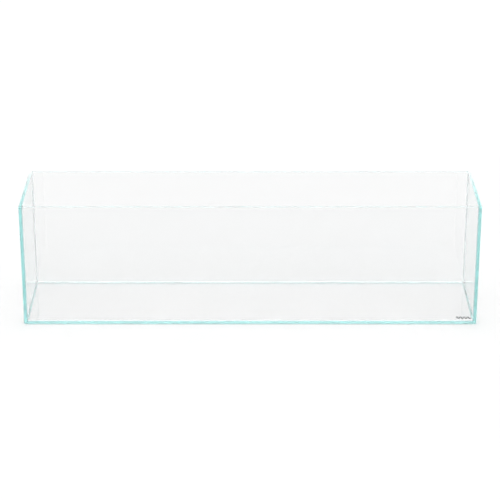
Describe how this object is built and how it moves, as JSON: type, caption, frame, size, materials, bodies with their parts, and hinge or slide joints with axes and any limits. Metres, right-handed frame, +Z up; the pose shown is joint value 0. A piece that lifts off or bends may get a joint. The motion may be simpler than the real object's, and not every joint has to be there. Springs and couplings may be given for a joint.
{
  "type": "glass aquarium tank",
  "caption": "Long low rimless tank of clear low-iron glass, open at the top, with panes butt-jointed in clear silicone and a small wave mark at the front.",
  "frame": {"origin": "middle of the underside, where the tank stands on the table", "axes": "+X to the right seen from the front pane with the mark, +Y from the front pane to the back pane, +Z up to the open rim"},
  "size_m": [0.9, 0.2001, 0.25],
  "materials": {
    "glass": "clear low-iron float glass with finely ground, satin edges",
    "bond_silicone": "clear cured silicone, thin joint",
    "seal_silicone": "clear cured silicone, tooled smooth",
    "mark_print": "thin dark grey printed mark"
  },
  "bodies": {
    "root": {"front_pane": "glass", "back_pane": "glass", "left_pane": "glass", "right_pane": "glass", "bottom_pane": "glass", "bond_bottom_left": "bond_silicone", "bond_bottom_right": "bond_silicone", "bond_bottom_front": "bond_silicone", "bond_bottom_back": "bond_silicone", "bond_front_left": "bond_silicone", "bond_front_right": "bond_silicone", "bond_back_left": "bond_silicone", "bond_back_right": "bond_silicone", "seal_front_left": "seal_silicone", "seal_front_right": "seal_silicone", "seal_back_right": "seal_silicone", "seal_back_left": "seal_silicone", "seal_bottom_front": "seal_silicone", "seal_bottom_right": "seal_silicone", "seal_bottom_back": "seal_silicone", "seal_bottom_left": "seal_silicone", "corner_mark": "mark_print"}
  },
  "joints": []
}
